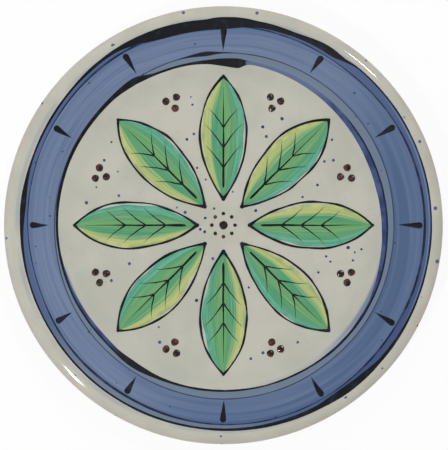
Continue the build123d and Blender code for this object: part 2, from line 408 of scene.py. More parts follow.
# %% Colours of the glaze, and where they lie
GLAZE_GREY = paint(183, 183, 172)
GLAZE_CREAM = paint(193, 191, 180)
GLAZE_POOLED = paint(168, 173, 165)
GLAZE_THIN = paint(186, 176, 166)
GLAZE_LIP = paint(184, 184, 168)
GLAZE_SPECK = paint(118, 112, 98)
BLEED = paint(150, 160, 170)
BLEED_BLUE = paint(92, 108, 144)
FLICK = paint(52, 66, 112)
LINES_INNER = 0.1056
LINES_OUTER = 0.1312
POOL = {"middle": 0.1, "reach": 0.011}
LIP_TOP = {"middle": 0.1344, "reach": 0.0028}
LIP_THINS = {"low": 0.1366, "high": 0.1394}
LIP_WARMS = {"low": 0.132, "high": 0.136}
LIP_FLICKED = {"low": 0.1335, "high": 0.1337}
SPECKS = {"spacing": 0.0036, "size": 0.00034, "share": 0.2}
FLICKS = {"spacing": 0.0115, "size": 0.0015, "share": 0.3}
FRONT_STARTS = 0.0125
FRONT_BLUR = 0.0003
GLAZE_RELIEF = 0.000006
WET_SIDE = 212


def wet_side(place):
    """1 on the side of the plate where the brush was wettest, and 0 elsewhere."""
    return facing(place, WET_SIDE).rise(0.94, 0.98)


print("glaze bleeds at", [round(1000 * r, 1) for r in (LINES_INNER, LINES_OUTER)], "mm from the axis")

# %% Pale glaze
pale_glaze, place = start_finish("pale_glaze")
x, _, z = place.parts()
radius = radius_of(place)
colour = place.clouds(38, 3).rise(0.35, 0.65).mix(GLAZE_GREY, GLAZE_CREAM)
colour = (0.25 * radius.near(**POOL)).mix(colour, GLAZE_POOLED)
colour = (0.7 * radius.near(**LIP_TOP) * place.clouds(45).rise(0.3, 0.65)).mix(colour, GLAZE_LIP)
thinned = radius.rise(**LIP_THINS) * place.clouds(60).rise(0.25, 0.6)
colour = (0.7 * thinned).mix(colour, GLAZE_THIN)
warmed = radius.rise(**LIP_WARMS) * place.clouds(26).rise(0.5, 0.75)
colour = (0.35 * warmed).mix(colour, GLAZE_THIN)
level = z - math.tan(RIM_SLOPE) * (radius - LINES_INNER)
on_top = level.rise(FRONT_STARTS - FRONT_BLUR, FRONT_STARTS + FRONT_BLUR)
bleeding = x.rise(0, 0.05) * radius.near(LINES_INNER, 0.0028) + radius.near(LINES_OUTER, 0.0024)
colour = (0.6 * on_top * bleeding * place.clouds(30).rise(0.3, 0.6)).mix(colour, BLEED)
blued = x.rise(0.05, 0.095) * radius.near(LINES_INNER - 0.0014, 0.0024)
blued = blued + wet_side(place) * radius.near(LINES_INNER, 0.0022)
colour = (0.8 * on_top * blued * place.clouds(22).rise(0.25, 0.5)).mix(colour, BLEED_BLUE)
colour = (0.5 * place.dots(**SPECKS)).mix(colour, GLAZE_SPECK)
flicked = on_top * place.dots(**FLICKS) * radius.rise(**LIP_FLICKED)
colour = (0.85 * flicked).mix(colour, FLICK)
gloss = 0.04 + 0.03 * place.clouds(90)
end_finish(place, colour, gloss, place.clouds(200), GLAZE_RELIEF)
print("pale glaze:", len(pale_glaze.node_tree.nodes), "nodes")

# %% The glazed front
FRONT_PARTS = {"well": 38, "cove": 8, "rim": 8, "roll": 8, "nose": 5}


def front_section(depth, fineness):
    """The front from the axis to the edge of the lip, this deep in the glaze."""
    count = {name: parts * fineness for name, parts in FRONT_PARTS.items()}
    well = arc(well_centre, CROWN_RADIUS + depth, DOWN, well_edge, count["well"])
    cove = arc(cove_centre, COVE_RADIUS + depth, well_edge, rim_foot, count["cove"])
    roll = arc(roll_centre, ROLL_RADIUS - depth, UP + RIM_SLOPE, UP - LIP_DROOP, count["roll"])
    nose = arc(nose_centre, nose_radius - depth, UP - LIP_DROOP, 0, count["nose"])
    rim = straight(cove[-1], roll[0], count["rim"])
    return well + cove[1:] + rim + roll + nose[1:]


bm = turned(front_section(0, 2) + front_section(GLAZE, 1)[::-1], closed=False)
for vert in bm.verts:
    x, y, z = vert.co
    mark = wheel_mark(math.hypot(x, y), math.atan2(y, x))
    vert.co = fired(x, y, z + mark)
piece = new_piece("glazed_front", bm, pale_glaze, "front_glaze")
print("glazed front:", len(piece.data.polygons), "faces")

# %% [markdown]
# ## The underside
# The back is glazed from the lip to the foot, and inside the foot. Both coats are spun from the same arcs,
# one body thickness lower. The foot stays bare, because a glazed foot would stick to the kiln shelf.

# %% The glazed back and recess
FOOT_MIDDLE = 0.079
FOOT_HALF_WIDTH = 0.005
FOOT_LEAN = math.radians(9)
RECESS_HEIGHT = FLOOR_TOP - BODY_THICKNESS
BACK_PARTS = {"nose": 6, "rim": 8, "cove": 8, "well": 3}
RECESS_PARTS = 24


def foot_half_width(z):
    """Half the width of the foot at a height: it narrows towards the table."""
    return FOOT_HALF_WIDTH + (z - RECESS_HEIGHT) * math.tan(FOOT_LEAN)


def under_angle(radius, r):
    """Angle on the underside's arc, of this radius, at a distance from the axis."""
    return DOWN + math.asin(r / radius)


def under_height(r):
    """Height of the glazed underside below the well."""
    return well_centre.y - math.sqrt((CROWN_RADIUS + BODY_THICKNESS) ** 2 - r**2)


foot_outside = FOOT_MIDDLE + foot_half_width(under_height(FOOT_MIDDLE + FOOT_HALF_WIDTH))
foot_inside = FOOT_MIDDLE - foot_half_width(under_height(FOOT_MIDDLE - FOOT_HALF_WIDTH))


def back_section(inset, fineness):
    """The underside from the edge of the lip to the foot, this far up in the glaze."""
    count = {name: parts * fineness for name, parts in BACK_PARTS.items()}
    well_arc = CROWN_RADIUS + BODY_THICKNESS - inset
    cove_arc = COVE_RADIUS + BODY_THICKNESS - inset
    nose = arc(nose_centre, nose_radius - inset, 0, rim_foot, count["nose"])
    cove = arc(cove_centre, cove_arc, rim_foot, well_edge, count["cove"])
    well = arc(well_centre, well_arc, well_edge, under_angle(well_arc, foot_outside), count["well"])
    return nose + straight(nose[-1], cove[0], count["rim"]) + cove + well[1:]


def recess_section(inset):
    """The underside inside the foot, from the axis out."""
    well_arc = CROWN_RADIUS + BODY_THICKNESS - inset
    return arc(well_centre, well_arc, DOWN, under_angle(well_arc, foot_inside), RECESS_PARTS)


bm = turned(back_section(0, 2) + back_section(GLAZE, 1)[::-1], closed=True)
for vert in bm.verts:
    vert.co = fired(*vert.co)
new_piece("glazed_back", bm, pale_glaze, "back_glaze")
bm = turned(recess_section(0) + recess_section(GLAZE)[::-1], closed=False)
new_piece("glazed_recess", bm, pale_glaze, "recess_glaze")
print("foot meets the glaze at", [round(1000 * r, 2) for r in (foot_inside, foot_outside)], "mm")

# %% [markdown]
# ## Bare clay and the turned foot
# The clay is a buff stoneware with darker grog in it. A turning tool leaves fine rings on the foot. The
# colour and the finest rings are in the finish. The deeper grooves are in the section that is spun.

# %% Bare clay
CLAY_LIGHT = paint(201, 180, 150)
CLAY_DARK = paint(183, 160, 130)
CLAY_GROG = paint(128, 100, 76)
RINGS_PER_METRE = 1800
CLAY_RELIEF = 0.00008

stoneware, place = start_finish("bare_stoneware")
_, _, z = place.parts()
rings = place.vector(0, z * RINGS_PER_METRE, radius_of(place) * RINGS_PER_METRE).clouds(1, 1)
colour = place.clouds(120, 4).rise(0.3, 0.7).mix(CLAY_LIGHT, CLAY_DARK)
colour = (0.3 * rings.rise(0.5, 0.7)).mix(colour, CLAY_DARK)
colour = (0.7 * place.clouds(1100).rise(0.68, 0.74)).mix(colour, CLAY_GROG)
roughness = 0.72 + 0.2 * place.clouds(400)
end_finish(place, colour, roughness, rings + 0.6 * place.clouds(1500), CLAY_RELIEF)
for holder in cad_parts["clay_body"].material_slots:
    holder.material = stoneware
print("bare clay:", len(stoneware.node_tree.nodes), "nodes")

# %% The turned foot
FOOT_EDGE = 0.0012
FOOT_EDGE_PARTS = 8
FOOT_GROOVE = 0.00008
FOOT_TOP = 0.0098
GROOVES = 9


def foot_flank(side):
    """One flank of the foot from its top down to its rounded edge; side is 1 outside, -1 inside."""
    edge_middle = foot_half_width(0) - FOOT_EDGE * (1 - math.sin(FOOT_LEAN)) / math.cos(FOOT_LEAN)
    corner = arc(Vector((edge_middle, FOOT_EDGE)), FOOT_EDGE, -FOOT_LEAN, DOWN, FOOT_EDGE_PARTS)
    heights = spaced(FOOT_TOP, corner[0].y, 2 * GROOVES)[:-1]
    flank = [Vector((foot_half_width(z) - FOOT_GROOVE * (step % 2), z)) for step, z in enumerate(heights)]
    return [Vector((FOOT_MIDDLE + side * point.x, point.y)) for point in flank + corner]


bm = turned(foot_flank(1) + foot_flank(-1)[::-1], closed=True)
new_piece("turned_foot", bm, stoneware, "foot_ring")
print("foot stands on a ring", round(2000 * foot_half_width(0), 1), "mm wide before its edges are rounded")

# %% [markdown]
# ## The hand on the turning wheel
# The rim is painted while the wheel turns: a wide brush of blue, a dark line over each of its edges, and a
# thin line a little inside each. The plate sat off the middle of the wheel and the hand moved, so none of
# these is a true circle. Where a loaded brush is pressed, a line swells, and it may be carried in or out.
# Each could be drawn as a curve by hand. Here they are functions of the angle, because the band, the lines
# and the dabs have to agree on them.

# %% Where each line runs
OFF_CENTRE = 0.0018
HAND_DRIFT = 0.0003
SOFT, BLUNT = 2, 4
PRESSED_SIDE = 96
UNEVEN_SLOWLY = 0.3
UNEVEN_QUICKLY = 0.15


def swell(at, before, after, wide=0, shift=0, ends=SOFT):
    """A pressed or strayed place on a line: bearing and reaches in degrees, wide and shift in metres."""
    return {"at": at, "before": before, "after": after, "wide": wide, "shift": shift, "ends": ends}


OUTER_EDGE = {"radius": 0.1304, "width": 0.0014, "off": 1.0, "seed": 18}
OUTER_EDGE["swells"] = [
    swell(100, before=16, after=17, wide=0.0058, shift=-0.0029, ends=BLUNT),
    swell(88, before=6, after=5.5, wide=0.0009, shift=0.00045, ends=BLUNT),
    swell(118, before=24, after=20, wide=0.0008, shift=0.0011),
    swell(54, before=3, after=4, wide=0.0006, shift=-0.0012),
    swell(61, before=6, after=26, wide=0.0034, shift=-0.0014, ends=BLUNT),
    swell(69, before=5, after=6, wide=-0.0014, shift=-0.0003),
    swell(174, before=8, after=8, wide=0.0022, shift=-0.0006),
    swell(20, before=45, after=30, wide=-0.0005),
    swell(300, before=24, after=12, wide=0.0016, shift=-0.0007),
    swell(309, before=9, after=8, wide=0.0024, shift=-0.0006, ends=BLUNT),
    swell(321, before=8, after=7, wide=0.0011, shift=-0.0002),
]
INNER_EDGE = {"radius": 0.1065, "width": 0.0015, "off": 0, "seed": 30}
INNER_EDGE["swells"] = [
    swell(25, before=35, after=60, shift=-0.0017),
    swell(122, before=5, after=45, wide=0.0005, shift=0.0022),
    swell(121, before=4, after=9, wide=0.0028),
    swell(140, before=10, after=14, wide=0.0006, shift=-0.0007),
    swell(222, before=20, after=9, wide=0.0017, shift=-0.0011),
    swell(288, before=18, after=18, wide=-0.0005),
    swell(325, before=18, after=16, wide=-0.0003, shift=0.0007),
    swell(168, before=8, after=8, wide=0.0006),
    swell(85, before=2.7, after=9.5, wide=0.0046, shift=-0.0011),
    swell(95, before=9, after=12, shift=-0.0004),
    swell(237, before=8, after=9, wide=0.0028),
    swell(14, before=42, after=48, wide=0.0032, shift=-0.0016),
]
OUTER_THIN = {"radius": 0.12695, "width": 0.0012, "off": 0.5, "seed": 38}
OUTER_THIN["swells"] = [
    swell(0, before=40, after=30, wide=0.0008, shift=0.0004),
    swell(122, before=28, after=20, wide=0.0006, shift=0.0009),
    swell(54, before=24, after=22, wide=-0.0004, shift=-0.0014),
    swell(165, before=30, after=15, wide=-0.0004, shift=-0.0003),
    swell(196, before=24, after=20, wide=-0.0005, shift=-0.0020),
    swell(236, before=25, after=20, wide=0.0009, shift=-0.0013),
    swell(300, before=18, after=14, wide=-0.0004),
    swell(322, before=16, after=16, shift=-0.0010),
]
INNER_THIN = {"radius": 0.11065, "width": 0.0009, "off": 0, "seed": 50}
INNER_THIN["swells"] = [
    swell(0, before=35, after=35, shift=-0.0011),
    swell(PRESSED_SIDE, before=4, after=5, wide=0.0026),
    swell(150, before=34, after=75, shift=-0.0026),
    swell(272, before=30, after=30, shift=0.0009),
]


def wander(around, seed, waves=2.0):
    """A smooth value from -1 to 1 that comes back to itself after a full turn."""
    return noise.noise((waves * math.cos(around), waves * math.sin(around), seed))


def line_middle(around, line):
    """Distance from the axis to the middle of a line, at an angle."""
    middle = line["radius"] + line["off"] * OFF_CENTRE * math.cos(around)
    return middle + HAND_DRIFT * wander(around, line["seed"], 2.5) + swelling(around, line, "shift")


def line_width(around, line):
    """Width of a line at an angle: uneven, and wider in its swells."""
    slowly = UNEVEN_SLOWLY * wander(around, line["seed"] + 2, 5)
    quickly = UNEVEN_QUICKLY * wander(around, line["seed"] + 5, 16)
    return line["width"] * (1 + slowly + quickly) + swelling(around, line, "wide")


def swelling(around, line, kind):
    """What all the swells of a line add to its width or its shift, at an angle."""
    total = 0
    for bulge in line["swells"]:
        apart = math.degrees(math.remainder(around - math.radians(bulge["at"]), math.tau))
        reach = bulge["after"] if apart > 0 else bulge["before"]
        total += bulge[kind] * math.exp(-((abs(apart) / reach) ** bulge["ends"]))
    return total


for name, line in {"outer edge": OUTER_EDGE, "inner edge": INNER_EDGE}.items():
    widths = [1000 * line_width(math.radians(angle), line) for angle in range(360)]
    print(name, "line is", round(min(widths), 2), "to", round(max(widths), 2), "mm wide")

# %% [markdown]
# ## The blue band
# The brush leaves streaks that run round the plate, denser towards the outside and on the side where it
# was last dipped, a paler strip between the inner thin line and the edge, and a strip of its own colour
# outside the outer thin line. On one side a thin pale gap is left beside the edge line. The band could be
# painted on the glaze by a mask. It is a thin ring of its own, because slip has a thickness. Each point of
# the ring carries how far across the band it is and where the two strips end, so that the colours follow
# the strays.

# %% Blues of the band, and where they lie
STREAKS_ROUND = 1.5
STREAKS_ACROSS = 14
LOADED_SIDE = 325
WATERED_SIDE = 248
GAP_SIDE = 5
BAND_STOPS = {
    0.00: paint(106, 122, 152),
    0.35: paint(108, 125, 156),
    0.65: paint(109, 126, 157),
    0.85: paint(95, 112, 146),
}
BAND_STRIP = paint(113, 128, 146)
BAND_DEEP = paint(76, 94, 134)
BAND_DEEPEST = paint(60, 76, 120)
BAND_THIN = paint(126, 141, 166)
BAND_DENSE = paint(72, 94, 129)
BAND_GAP = paint(146, 166, 182)
BAND_DOT = paint(48, 60, 92)
GAP = {"middle": 0.958, "reach": 0.014}
STRIP_BLUR = 0.01
BAND_DOTS = {"spacing": 0.0085, "size": 0.0009, "share": 0.15}
BAND_RELIEF = 0.00001
print("brush was last dipped at a bearing of", LOADED_SIDE, "degrees")

# %% Blue slip
blue_slip, place = start_finish("blue_slip")
x, y, _ = place.parts()
radius = radius_of(place)
drawn = place.node("ShaderNodeAttribute", {"attribute_name": "band_place"}, output="Vector")
out, inner_strip, outer_strip = drawn.parts()
brushed = place.vector(STREAKS_ROUND * x / radius, STREAKS_ROUND * y / radius, STREAKS_ACROSS * out)
streaks = brushed.clouds(1, 4)
sweeps = brushed.clouds(0.4, 1)
colour = out.ramp(BAND_STOPS)
colour = (0.55 * streaks.rise(0.5, 0.72)).mix(colour, BAND_THIN)
colour = (0.45 * (1 - streaks).rise(0.5, 0.72)).mix(colour, BAND_DENSE)
loaded = facing(place, LOADED_SIDE).rise(-0.1, 0.65) * (0.5 + 0.5 * sweeps.rise(0.42, 0.6))
colour = (0.85 * loaded).mix(colour, BAND_DENSE)
within = 1 - (out - inner_strip).rise(-STRIP_BLUR, STRIP_BLUR)
colour = (0.8 * within).mix(colour, BAND_STRIP)
beyond = (out - outer_strip).rise(-STRIP_BLUR, STRIP_BLUR)
watered = facing(place, WATERED_SIDE).rise(0.75, 0.95)
deep = facing(place, LOADED_SIDE).rise(0.86, 0.97).mix(BAND_DEEP, BAND_DEEPEST)
colour = (0.75 * beyond).mix(colour, watered.mix(deep, BAND_STRIP))
gap = facing(place, GAP_SIDE).rise(0.8, 0.93) * out.near(**GAP)
colour = (0.6 * gap).mix(colour, BAND_GAP)
colour = (0.8 * place.dots(**BAND_DOTS)).mix(colour, BAND_DOT)
end_finish(place, colour, 0.06 + 0.03 * streaks, streaks, BAND_RELIEF)
print("blue slip:", len(blue_slip.node_tree.nodes), "nodes")

# %% The band on the rim
SINK = 0.00012
BAND_LIFT = 0.00012
BAND_PARTS = 48
BAND_UNDER_PARTS = 12


def lay_on_front(bm):
    """Takes a shape that is drawn flat, with z as its lift, down on to the fired front."""
    for vert in bm.verts:
        vert.co = on_front(*vert.co)


inside = INNER_EDGE["radius"]
outside = OUTER_EDGE["radius"]
top = [Vector((r, BAND_LIFT)) for r in spaced(inside, outside, BAND_PARTS)]
under = [Vector((r, -SINK)) for r in spaced(outside, inside, BAND_UNDER_PARTS)]
bm = turned(top + under, closed=True)
band_place = bm.verts.layers.float_vector.new("band_place")
for vert in bm.verts:
    x, y, lift = vert.co
    around = math.atan2(y, x)
    out = (math.hypot(x, y) - inside) / (outside - inside)
    start = line_middle(around, INNER_EDGE)
    wide = line_middle(around, OUTER_EDGE) - start
    strips = [(line_middle(around, line) - start) / wide for line in (INNER_THIN, OUTER_THIN)]
    vert[band_place] = (out, *strips)
    spot = (start + out * wide) * toward(around)
    vert.co = (spot.x, spot.y, lift)
lay_on_front(bm)
piece = new_piece("banded_blue", bm, blue_slip, "blue_band")
print("blue band:", len(piece.data.polygons), "faces")

# %% [markdown]
# ## Dark slip
# The edge lines, dabs, outlines and veins are a blue-black slip, so full of pigment that it dried nearly
# matt. Where the brush ran dry it shows navy. On two sides of the plate the inner line has a wide blue
# fringe, and for a stretch it is a paler blue all through: points of that line carry how deep in the blue
# they are. The two thin lines on the band were drawn with a wetter, bluer mix, the inner one the paler and
# nearly black where it was pressed, so they have a finish of their own.

# %% Dark slip
DARK_FULL = paint(20, 23, 28)
DARK_DRY = paint(42, 51, 72)
FRINGE_DEEP = paint(44, 58, 102)
FRINGE_BLUE = paint(68, 86, 130)
FRINGE_PALE = paint(96, 113, 145)
PALE_FROM = {"low": 0.074, "high": 0.09}
DARK_SHINE = 0.12
DARK_RELIEF = 0.00001

dark_slip, place = start_finish("dark_slip")
x, y, _ = place.parts()
thin = place.clouds(150, 3).rise(0.5, 0.72)
colour = (0.5 * thin).mix(DARK_FULL, DARK_DRY)
fringe = place.node("ShaderNodeAttribute", {"attribute_name": "fringe"}, output="Fac")
blues = place.clouds(110, 3).rise(0.35, 0.65).mix(FRINGE_DEEP, FRINGE_BLUE)
blues = (0.85 * y.rise(**PALE_FROM)).mix(blues, FRINGE_PALE)
# The fringe starts softly on the lower half of the plate, and with a blunt edge on the upper half.
upper = y.rise(0, 0.05)
fringed = x.rise(0.012 + 0.0015 * upper, 0.024 - 0.0085 * upper) + wet_side(place)
colour = (fringed * fringe.rise(0.4, 0.6)).mix(colour, blues)
end_finish(place, colour, 0.46 + 0.12 * thin, place.clouds(420), DARK_RELIEF, DARK_SHINE)
print("dark slip:", len(dark_slip.node_tree.nodes), "nodes")

# %% Navy slip of the thin lines
NAVY_INNER = paint(54, 65, 84)
NAVY_PRESSED = paint(28, 32, 40)
NAVY_OUTER = paint(26, 35, 60)
NAVY_DRY = paint(62, 77, 111)
NAVY_CHANGES = {"low": 0.115, "high": 0.122}

navy_slip, place = start_finish("navy_slip")
thin = place.clouds(90, 3).rise(0.45, 0.7)
pressed = facing(place, PRESSED_SIDE).rise(0.984, 0.994)
navy = radius_of(place).rise(**NAVY_CHANGES).mix(pressed.mix(NAVY_INNER, NAVY_PRESSED), NAVY_OUTER)
colour = (0.7 * thin * (1 - pressed)).mix(navy, NAVY_DRY)
end_finish(place, colour, 0.4 + 0.12 * thin, place.clouds(420), DARK_RELIEF, DARK_SHINE)
print("navy slip:", len(navy_slip.node_tree.nodes), "nodes")

# %% [markdown]
# ## Dark lines
# A bevelled circle would give an even wire. A flat bead is spun instead, and each point of it is moved to
# the line's own middle and width at its angle. The inner edge line gets its note of the blue fringe here.

# %% Brushed lines
BEAD = 0.0004
FLATNESS = 0.6
LINE_STEPS = 540
LINE_SIDES = 16
EDGE_LINE_LIFT = 0.00018
THIN_LINE_LIFT = 0.00016
FRINGE_DEPTH = 0.0014
BLUE_STRETCH = {"at": 62, "reach": 19}


def bead_level(up, height):
    """Height on a flat-topped bead, where up goes from -1 underneath to 1 on top."""
    return height * up**FLATNESS if up > 0 else SINK * up


def brushed_line(line, height):
    """A bead of this height round the plate, with the middle and the width of a line."""
    radius = line["radius"]
    section = arc(Vector((radius, 0)), BEAD, 0, math.tau, LINE_SIDES)[:-1]
    bm = turned(section, closed=True, steps=LINE_STEPS)
    for vert in bm.verts:
        x, y, z = vert.co
        around = math.atan2(y, x)
        across = (math.hypot(x, y) - radius) / BEAD
        half = line_width(around, line) / 2
        spot = (line_middle(around, line) + across * half) * toward(around)
        vert.co = (spot.x, spot.y, bead_level(z / BEAD, height))
    lay_on_front(bm)
    return bm


def add_fringe(bm, line):
    """Notes on each point of a line how blue it is: half at the fringe's start, more inside it."""
    fringe = bm.verts.layers.float.new("fringe")
    for vert in bm.verts:
        around = math.atan2(vert.co.y, vert.co.x)
        depth = line_middle(around, line) + line_width(around, line) / 2 - vert.co.xy.length
        apart = math.remainder(math.degrees(around) - BLUE_STRETCH["at"], 360) / BLUE_STRETCH["reach"]
        vert[fringe] = depth / (2 * FRINGE_DEPTH) + math.exp(-(apart**4))


bm = brushed_line(OUTER_EDGE, EDGE_LINE_LIFT)
new_piece("outer_edge_line", bm, dark_slip, "outer_dark_line")
bm = brushed_line(INNER_EDGE, EDGE_LINE_LIFT)
add_fringe(bm, INNER_EDGE)
new_piece("inner_edge_line", bm, dark_slip, "inner_dark_line")
bm = brushed_line(OUTER_THIN, THIN_LINE_LIFT)
new_piece("outer_thin_line", bm, navy_slip, "outer_hairline")
bm = brushed_line(INNER_THIN, THIN_LINE_LIFT)
piece = new_piece("inner_thin_line", bm, navy_slip, "inner_hairline")
print("each brushed line:", len(piece.data.polygons), "faces")

# %% [markdown]
# ## Strokes
# A stroke of slip is a bead: rounded on top, flat underneath, and narrow where the brush landed and left.
# A curve with a taper would round it on all sides. A tube is cut into short lengths instead, and each ring
# of it is moved to its place along the stroke, flattened, and let into the glaze a little. The rings stand
# closer together near both ends, where the width changes most.

# %% Add a stroke to a bmesh
NARROWEST = 0.04
LOOK_AHEAD = 0.01


def add_stroke(bm, path, width, height, steps, sides=12):
    """Adds one bead along a path that runs from 0 to 1, with its width and height along it."""
    before = len(bm.verts)
    tube = bmesh.ops.create_cone(bm, cap_ends=True, segments=sides, radius1=1, radius2=1, depth=1)
    rings = set(tube["verts"])
    own = [edge for edge in bm.edges if rings.issuperset(edge.verts)]
    upright = [edge for edge in own if edge.verts[0].co.z * edge.verts[1].co.z < 0]
    bmesh.ops.subdivide_edges(bm, edges=upright, cuts=steps - 1, use_grid_fill=True)
    bm.verts.ensure_lookup_table()
    for vert in bm.verts[before:]:
        along = (1 + math.sin(math.pi * vert.co.z)) / 2
        ahead = path(along + LOOK_AHEAD) - path(along - LOOK_AHEAD)
        across = Vector((-ahead.y, ahead.x)).normalized()
        spot = path(along) + across * vert.co.x * width(along) / 2
        vert.co = (spot.x, spot.y, bead_level(vert.co.y, height(along)))


def round_end(run, reach):
    """Closes the end of a stroke to a half circle: nearly 0 at the end, and 1 from the reach on."""
    share = min(max(run / reach, 0), 1)
    return max(NARROWEST, math.sqrt(1 - (1 - share) ** 2))


bm = bmesh.new()
add_stroke(bm, lambda t: Vector((t, 0)), lambda t: 0.1, lambda t: 0.1, 4)
print("a stroke of 4 lengths has", len(bm.verts), "vertices")
bm.free()

# %% [markdown]
# ## Dabs on the rim
# Twelve dabs of dark slip cross the blue band, one every thirty degrees. Each was pressed down at its
# outer end and drawn in to a point, so it is a stroke with a round head and a thin tail. Each head stays
# just inside the outer thin line, wherever that runs.

# %% Dabs
DAB_COUNT = 12
DAB_GAP = 0.00125
DAB_TAIL = 0.1119
DAB_WIDTH = 0.0042
DAB_ROUND = 0.15
DAB_TAPER = 0.85
DAB_STAND = 0.0002
DAB_LOW = 0.3
DAB_LEAN = 0.0007
DAB_SHAKE = 0.0002
DAB_STEPS = 28
DAB_SIDES = 14


def spot_on_ray(r, sideways, angle):
    """A flat point at a distance along a ray, and off to its left."""
    return Matrix.Rotation(angle, 2) @ Vector((r, sideways))


def dab_width(t):
    """Round head, then a long taper; t runs from the head to the tail."""
    tail = max(NARROWEST, 1 - max(0, t - DAB_ROUND) / (1 - DAB_ROUND))
    return DAB_WIDTH * round_end(t, DAB_ROUND) * tail**DAB_TAPER


for number in range(DAB_COUNT):
    angle = math.tau * number / DAB_COUNT
    head = line_middle(angle, OUTER_THIN) - DAB_GAP
    lean = DAB_LEAN * noise.noise((number, 0.4, 2.6))

    def dab_path(t):
        bow = lean * (2 * t - 1) + DAB_SHAKE * noise.noise((3 * t, number, 8.2))
        return spot_on_ray(head + (DAB_TAIL - head) * t, bow, angle)

    def dab_height(t):
        return BAND_LIFT + DAB_STAND * (DAB_LOW + (1 - DAB_LOW) * dab_width(t) / DAB_WIDTH)

    bm = bmesh.new()
    add_stroke(bm, dab_path, dab_width, dab_height, DAB_STEPS, DAB_SIDES)
    lay_on_front(bm)
    label = f"{number + 1:02}"
    piece = new_piece(f"rim_stroke_{label}", bm, dark_slip, f"rim_dab_{label}")
print("dabs:", DAB_COUNT, "of", len(piece.data.polygons), "faces")

# %% [markdown]
# ## Painted leaves
# Eight leaves stand round the middle. Their greens were laid as long brush strokes side by side, from teal
# through leaf green to a pale yellow, and the streaks run along the leaf. So the finish needs to know where
# it is on the leaf, and each leaf carries that as an attribute: how far along, how far across, and a number
# of its own that keeps the eight from being copies.

# %% Leaf greens
LEAF_STOPS = {
    0.00: paint(84, 166, 152),
    0.10: paint(104, 176, 150),
    0.22: paint(80, 150, 112),
    0.42: paint(112, 164, 108),
    0.56: paint(92, 156, 104),
    0.66: paint(72, 150, 118),
    0.75: paint(150, 178, 116),
    0.88: paint(192, 194, 124),
    1.00: paint(198, 198, 150),
}
LEAF_PALE = paint(178, 190, 150)
LEAF_DEEP = paint(48, 122, 96)
LEAF_RELIEF = 0.00002

leaf_green, place = start_finish("leaf_green")
drawn = place.node("ShaderNodeAttribute", {"attribute_name": "leaf_place"}, output="Vector")
along, across, own = drawn.parts()
strokes = place.vector(1.4 * along, 9 * across, 13 * own).clouds(1, 3)
bristles = place.vector(2.2 * along, 42 * across, 7 * own).clouds(1, 2)
shifted = 0.5 + 0.45 * across + 0.5 * (strokes - 0.5)
colour = shifted.ramp(LEAF_STOPS)
colour = (0.6 * bristles.rise(0.52, 0.75)).mix(colour, LEAF_PALE)
colour = (0.5 * (1 - bristles).rise(0.55, 0.75)).mix(colour, LEAF_DEEP)
pooled = abs(across).rise(0.72, 1) * place.clouds(130).rise(0.35, 0.65)
colour = (0.45 * pooled).mix(colour, LEAF_DEEP)
ends = along.near(0, 0.16) * strokes.rise(0.4, 0.6)
colour = (0.6 * ends).mix(colour, LEAF_DEEP)
end_finish(place, colour, 0.12 + 0.08 * bristles, bristles + strokes, LEAF_RELIEF)
print("leaf green:", len(leaf_green.node_tree.nodes), "nodes")

# %% Shape of a leaf
LEAF_COUNT = 8
LEAF_BASE = 0.017
LEAF_WIDEST = 0.0609
LEAF_TIP = 0.0959
LEAF_WIDTH = 0.030
LEAF_LENGTH = LEAF_TIP - LEAF_BASE


def leaf_angle(number):
    """Bearing of a leaf, in radians."""
    return math.tau * number / LEAF_COUNT


def leaf_half_width(x):
    """Half the width of a leaf, this far from the axis: two arcs that meet at the widest place."""
    reach = LEAF_WIDEST - LEAF_BASE if x < LEAF_WIDEST else LEAF_TIP - LEAF_WIDEST
    bend = (reach**2 + LEAF_WIDTH**2 / 4) / LEAF_WIDTH
    inside = max(bend**2 - (x - LEAF_WIDEST) ** 2, 0)
    return max(math.sqrt(inside) - bend + LEAF_WIDTH / 2, 0)


print("a leaf at 40, 60 and 80 mm is", [round(2000 * leaf_half_width(x), 1) for x in (0.04, 0.06, 0.08)])

# %% [markdown]
# The wash of green is a thin cushion of slip. A flat grid is extruded into a slab, its far side is let into
# the glaze, and its points are moved to the leaf's outline. It stops a little short of the outline here and
# there, as a quick brush does.

# %% Washes of green
WASH_LIFT = 0.00028
WASH_LONG = 72
WASH_WIDE = 18
WASH_SLIP = 0.0016
WASH_SHARE = 0.92
WASH_UNEVEN = 0.11
WASH_EDGE = 0.3
WASH_MERGE = 1e-5


def leaf_wash(number):
    """The green of one leaf, with its leaf_place attribute."""
    bm = bmesh.new()
    bmesh.ops.create_grid(bm, x_segments=WASH_LONG, y_segments=WASH_WIDE, size=1)
    raised = bmesh.ops.extrude_face_region(bm, geom=bm.faces[:])["geom"]
    upper = [item for item in raised if isinstance(item, bmesh.types.BMVert)]
    bmesh.ops.translate(bm, verts=upper, vec=(0, 0, 1))
    leaf_place = bm.verts.layers.float_vector.new("leaf_place")
    for vert in bm.verts:
        along = (vert.co.x + 1) / 2
        across = vert.co.y
        level = vert.co.z
        vert[leaf_place] = (along, across, number)
        x = LEAF_BASE + LEAF_LENGTH * along
        hand = WASH_SHARE + WASH_UNEVEN * noise.noise((5 * along, 3 * (across > 0), number))
        slip = WASH_SLIP * noise.noise((0.5, 2.2, number + 0.4)) * math.sin(math.pi * along)
        spot = spot_on_ray(x, across * hand * leaf_half_width(x) + slip, leaf_angle(number))
        crown = WASH_EDGE + (1 - WASH_EDGE) * (1 - across**4) * (1 - (2 * along - 1) ** 8)
        vert.co = (spot.x, spot.y, WASH_LIFT * crown if level > 0.5 else -SINK)
    bmesh.ops.remove_doubles(bm, verts=bm.verts, dist=WASH_MERGE)
    lay_on_front(bm)
    return bm


